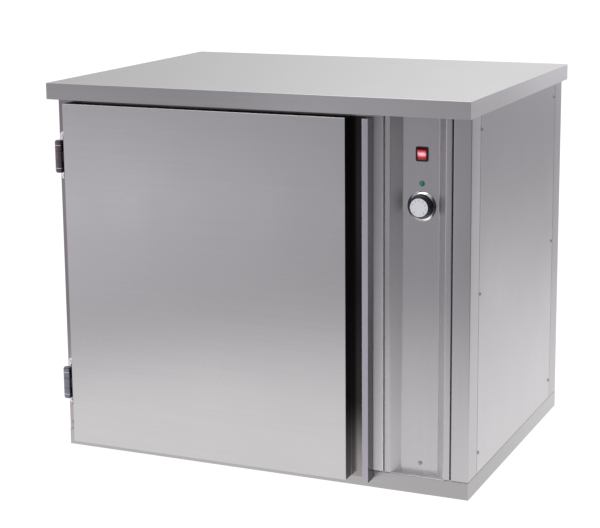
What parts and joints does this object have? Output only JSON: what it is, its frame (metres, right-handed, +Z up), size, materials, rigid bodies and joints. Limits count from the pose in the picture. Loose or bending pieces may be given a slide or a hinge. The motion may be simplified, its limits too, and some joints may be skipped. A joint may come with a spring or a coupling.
{
  "type": "blanket warming cabinet",
  "caption": "Under-bench stainless steel warming cabinet with worktop, left-hung insulated door with full-height grip, and a recessed column with lit switch, lamp and dial.",
  "frame": {"origin": "centre of the footprint of the whole cabinet, at floor level", "axes": "+Z up, +X to the right of someone facing the door, the door faces -Y"},
  "size_m": [0.986, 0.759, 0.85],
  "materials": {
    "stainless_steel": "brushed",
    "galvanised_steel": "dull zinc",
    "screw_steel": "satin",
    "chrome": "polished",
    "dark_metal": "satin black",
    "cast_metal": "cast",
    "aluminium": "satin",
    "element_sheath": "heat tinted",
    "copper": "drawn",
    "board": "particle board",
    "mineral_wool": "fibrous",
    "silicone_seal": "matt",
    "black_plastic": "semi-gloss",
    "white_plastic": "matt",
    "red_lens": "glossy, lit",
    "green_lens": "glossy",
    "wire_sleeve": "braided"
  },
  "bodies": {
    "cabinet": {"air_duct_panel": "stainless_steel", "back_panel": "stainless_steel", "base_panel": "galvanised_steel", "cable_gland": "black_plastic", "centre_post": "stainless_steel", "chamber_back_wall": "stainless_steel", "chamber_ceiling": "stainless_steel", "chamber_floor_sheet": "stainless_steel", "chamber_insulation": "mineral_wool", "chamber_left_wall": "stainless_steel", "chamber_right_wall": "stainless_steel", "compartment_wall": "galvanised_steel", "control_panel": "stainless_steel", "door_catch": "black_plastic", "fan_motor": "cast_metal", "front_header": "stainless_steel", "front_left_post": "stainless_steel", "front_right_post": "stainless_steel", "front_screws": "screw_steel", "front_sill": "stainless_steel", "heating_element": "element_sheath", "hinge_frame_screws": "screw_steel", "hinge_lower_frame_leaf": "chrome", "hinge_pins": "chrome", "hinge_upper_frame_leaf": "chrome", "indicator_lamp": "green_lens", "left_side_panel": "stainless_steel", "panel_screws": "screw_steel", "plinth_front_rail": "stainless_steel", "plinth_left_rail": "stainless_steel", "plinth_rear_rail": "stainless_steel", "plinth_right_rail": "stainless_steel", "rear_left_post": "stainless_steel", "rear_right_post": "stainless_steel", "right_side_panel": "stainless_steel", "shelf_lower": "stainless_steel", "shelf_runners": "stainless_steel", "shelf_upper": "stainless_steel", "switch_housing": "black_plastic", "terminal_block": "white_plastic", "thermostat_bezel": "chrome", "thermostat_body": "white_plastic", "thermostat_sensor": "copper", "wiring_loom": "wire_sleeve", "worktop": "stainless_steel", "worktop_core": "board", "worktop_screws": "screw_steel"},
    "door": {"door_gasket": "silicone_seal", "door_grip": "stainless_steel", "door_inner_skin": "stainless_steel", "door_insulation": "mineral_wool", "door_outer_skin": "stainless_steel", "door_strike": "stainless_steel", "hinge_door_screws": "screw_steel", "hinge_lower_door_leaf": "dark_metal", "hinge_upper_door_leaf": "dark_metal"},
    "thermostat_dial": {"thermostat_knob": "black_plastic"},
    "rocker": {"switch_rocker": "red_lens"},
    "fan": {"fan_impeller": "aluminium"}
  },
  "joints": [
    {"name": "door_hinge", "type": "hinge", "parent": "cabinet", "child": "door", "pos_m": [-0.4745, -0.3625, 0.42], "axis": [0, 0, -1], "range_deg": [0, 170]},
    {"name": "thermostat_turn", "type": "hinge", "parent": "cabinet", "child": "thermostat_dial", "pos_m": [0.3715, -0.323, 0.6205], "axis": [0, 1, 0], "range_deg": [0, 270]},
    {"name": "rocker_tip", "type": "hinge", "parent": "cabinet", "child": "rocker", "pos_m": [0.3715, -0.3165, 0.73], "axis": [-1, 0, 0], "range_deg": [0, 20]},
    {"name": "fan_spin", "type": "hinge", "parent": "cabinet", "child": "fan", "pos_m": [-0.09525, 0.2485, 0.4225], "axis": [0, 1, 0], "continuous": true}
  ]
}
